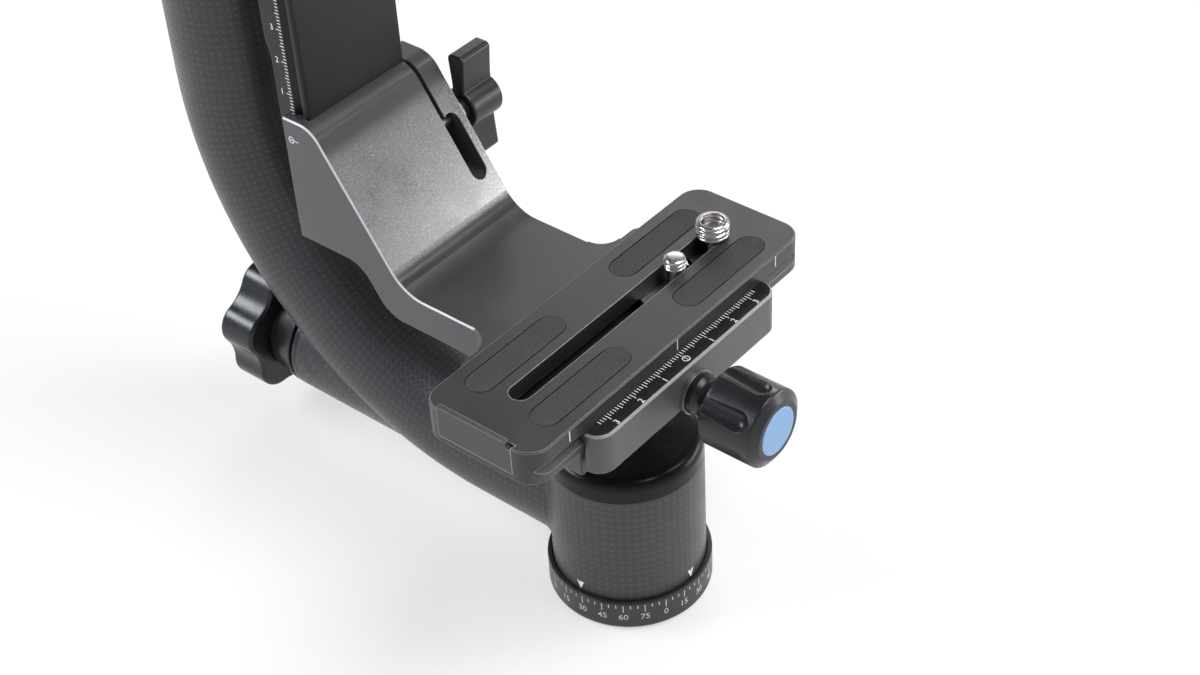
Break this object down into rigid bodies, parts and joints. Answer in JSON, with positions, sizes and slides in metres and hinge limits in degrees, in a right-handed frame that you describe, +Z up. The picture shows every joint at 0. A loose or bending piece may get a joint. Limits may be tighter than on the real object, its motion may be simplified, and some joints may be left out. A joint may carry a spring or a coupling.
{
  "type": "gimbal tripod head",
  "caption": "Gimbal tripod head with a carbon L-arm, panning drum with degree ring, swing rail with height scale, sliding cradle and quick-release camera plate.",
  "frame": {"origin": "on the pan axis, at the underside that rests on the tripod", "axes": "+Z up along the pan axis; +X along the tilt axis from the upright arm towards the camera plate's clamp knob; +Y along the camera plate, towards the end with the two camera screws"},
  "size_m": [0.2395, 0.116, 0.232],
  "materials": {
    "carbon": "satin carbon fibre weave",
    "black_anodised": "satin black anodised",
    "bare_aluminium": "machined",
    "dark_steel": "black oxide",
    "bearing_steel": "ground",
    "polymer": "natural acetal",
    "rubber": "pebbled",
    "nickel": "bright nickel plated",
    "blue_anodised": "satin blue anodised"
  },
  "bodies": {
    "base": {"scale_ring": "black_anodised", "thread_bush": "dark_steel", "pan_spindle": "dark_steel", "base_screws": "dark_steel", "pan_brake_sleeve": "dark_steel", "pan_inner_races": "bearing_steel", "pan_bearing_cages": "polymer", "pan_bearing_balls": "bearing_steel", "pan_washer": "dark_steel", "pan_nut": "dark_steel"},
    "arm": {"arm_shell": "carbon", "drum_liner": "bare_aluminium", "drum_cap": "black_anodised", "lock_insert": "black_anodised", "tilt_liner": "bare_aluminium", "tilt_end_cap": "black_anodised", "tilt_outer_races": "bearing_steel", "pan_outer_races": "bearing_steel"},
    "pan_brake": {"pan_brake_shoe": "polymer"},
    "pan_lock": {"pan_lock_rod": "dark_steel", "pan_lock_knob": "black_anodised"},
    "swing": {"swing_hub": "black_anodised", "tilt_spindle": "dark_steel", "hub_screws": "dark_steel", "tilt_sleeve": "dark_steel", "tilt_inner_races": "bearing_steel", "tilt_bearing_cages": "polymer", "tilt_bearing_balls": "bearing_steel", "tilt_washer": "dark_steel", "tilt_nut": "dark_steel", "swing_rail": "black_anodised", "rail_bolts": "dark_steel", "rail_stop_screws": "dark_steel"},
    "tilt_brake": {"tilt_brake_pad": "polymer"},
    "tilt_lock": {"tilt_lock_knob": "black_anodised", "tilt_lock_screw": "dark_steel"},
    "cradle": {"cradle_bracket": "black_anodised"},
    "height_lock_slide": {"wing_washer": "dark_steel"},
    "height_lock": {"wing_knob": "black_anodised", "wing_screw": "dark_steel"},
    "jaw": {"moving_jaw": "black_anodised", "guide_pins": "dark_steel", "clamp_washer": "dark_steel"},
    "clamp_lock": {"clamp_knob": "black_anodised", "clamp_knob_disc": "blue_anodised", "clamp_screw": "dark_steel"},
    "plate": {"camera_plate": "black_anodised", "grip_pads": "rubber", "safety_screws": "dark_steel"},
    "stop": {"end_stop": "dark_steel"},
    "quarter_slider": {"quarter_screw_washer": "dark_steel"},
    "quarter_screw": {"quarter_camera_screw": "nickel"},
    "large_slider": {"large_screw_washer": "dark_steel"},
    "large_screw": {"large_camera_screw": "nickel", "thread_adapter": "nickel"}
  },
  "joints": [
    {"name": "pan_turn", "type": "hinge", "parent": "base", "child": "arm", "pos_m": [0, 0, 0], "axis": [0, 0, 1], "continuous": true},
    {"name": "pan_brake_slide", "type": "slide", "parent": "arm", "child": "pan_brake", "axis": [1, 0, 0], "range_m": [-0.00125, 0]},
    {"name": "pan_lock_turn", "type": "hinge", "parent": "pan_brake", "child": "pan_lock", "pos_m": [-0.13, 0, 0.0294], "axis": [1, 0, 0], "range_deg": [-360, 0]},
    {"name": "tilt_turn", "type": "hinge", "parent": "arm", "child": "swing", "pos_m": [-0.12, 0, 0.208], "axis": [1, 0, 0], "continuous": true},
    {"name": "tilt_brake_slide", "type": "slide", "parent": "arm", "child": "tilt_brake", "axis": [1, 0, 0], "range_m": [-0.00125, 0]},
    {"name": "tilt_lock_turn", "type": "hinge", "parent": "tilt_brake", "child": "tilt_lock", "pos_m": [-0.17, 0, 0.208], "axis": [1, 0, 0], "range_deg": [-360, 0]},
    {"name": "cradle_slide", "type": "slide", "parent": "swing", "child": "cradle", "axis": [0, 0, 1], "range_m": [0, 0.07]},
    {"name": "height_lock_slide", "type": "slide", "parent": "cradle", "child": "height_lock_slide", "axis": [0, 1, 0], "range_m": [0, 0.0012]},
    {"name": "height_lock_turn", "type": "hinge", "parent": "height_lock_slide", "child": "height_lock", "pos_m": [-0.0786, 0.03, 0.1167], "axis": [0, 1, 0], "range_deg": [0, 540]},
    {"name": "jaw_slide", "type": "slide", "parent": "cradle", "child": "jaw", "axis": [1, 0, 0], "range_m": [0, 0.0036]},
    {"name": "clamp_lock_turn", "type": "hinge", "parent": "jaw", "child": "clamp_lock", "pos_m": [0.03, 0, 0.0823], "axis": [1, 0, 0], "range_deg": [0, 1620]},
    {"name": "plate_slide", "type": "slide", "parent": "cradle", "child": "plate", "axis": [0, 1, 0], "range_m": [-0.0115, 0.01]},
    {"name": "end_stop_slide", "type": "slide", "parent": "plate", "child": "stop", "axis": [0, 0, 1], "range_m": [0, 0.0025]},
    {"name": "quarter_screw_slide", "type": "slide", "parent": "plate", "child": "quarter_slider", "axis": [0, 1, 0], "range_m": [-0.06, 0.0005]},
    {"name": "quarter_screw_turn", "type": "hinge", "parent": "quarter_slider", "child": "quarter_screw", "pos_m": [0, 0.0248, 0.09], "axis": [0, 0, 1], "continuous": true},
    {"name": "large_screw_slide", "type": "slide", "parent": "plate", "child": "large_slider", "axis": [0, 1, 0], "range_m": [-0.0015, 0.0005]},
    {"name": "large_screw_turn", "type": "hinge", "parent": "large_slider", "child": "large_screw", "pos_m": [0, 0.042, 0.09], "axis": [0, 0, 1], "continuous": true}
  ],
  "couplings": [
    {"joint": "pan_brake_slide", "follows": "pan_lock_turn", "m_per_rad": 0.0001989},
    {"joint": "tilt_brake_slide", "follows": "tilt_lock_turn", "m_per_rad": 0.0001989},
    {"joint": "height_lock_slide", "follows": "height_lock_turn", "m_per_rad": 0.0001273},
    {"joint": "clamp_lock_turn", "follows": "jaw_slide", "rad_per_m": 7853.9}
  ]
}
